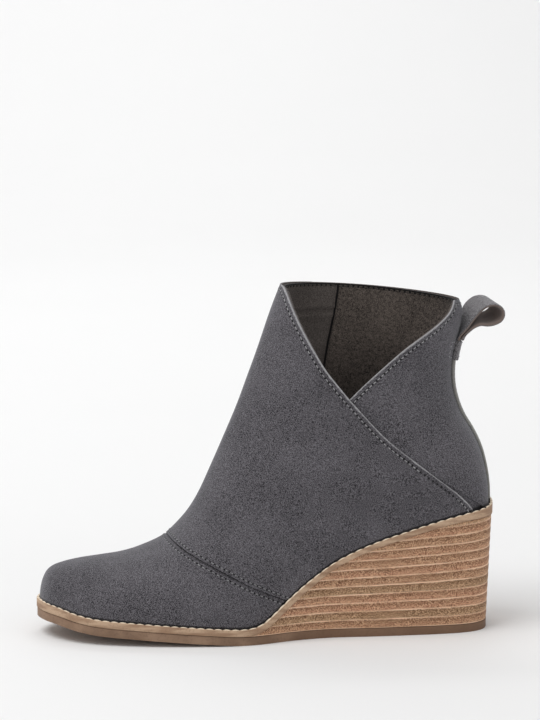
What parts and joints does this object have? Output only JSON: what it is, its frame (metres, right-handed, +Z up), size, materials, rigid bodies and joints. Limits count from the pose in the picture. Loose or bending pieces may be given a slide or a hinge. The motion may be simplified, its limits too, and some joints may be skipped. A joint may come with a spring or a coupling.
{
  "type": "ankle boot",
  "caption": "Suede pull-on ankle boot for the left foot, with a V-cut collar, a pull loop at the back and a high stacked wedge sole.",
  "frame": {"origin": "middle of the boot's bounding box, on the floor that it stands on", "axes": "+X from the toe to the heel, -Y towards the outer side of the left foot, +Z up"},
  "size_m": [0.2542, 0.0826, 0.1887],
  "materials": {
    "suede": "dark grey suede with a short nap, matte",
    "lining": "dark brown-grey napped lining, matte",
    "thread": "dark grey sewing thread",
    "rand": "light tan strip with a knurled top edge, satin",
    "stack": "tan stacked layers with fine grain and lighter joints, satin",
    "outsole": "brown rubber, slightly worn, matte",
    "insole": "dark footbed, matte"
  },
  "bodies": {
    "root": {"outsole": "outsole", "wedge": "stack", "midsole": "rand", "insole": "insole", "upper": "suede", "backstay": "suede", "loop_patch": "suede", "pull_loop": "suede"}
  },
  "joints": []
}
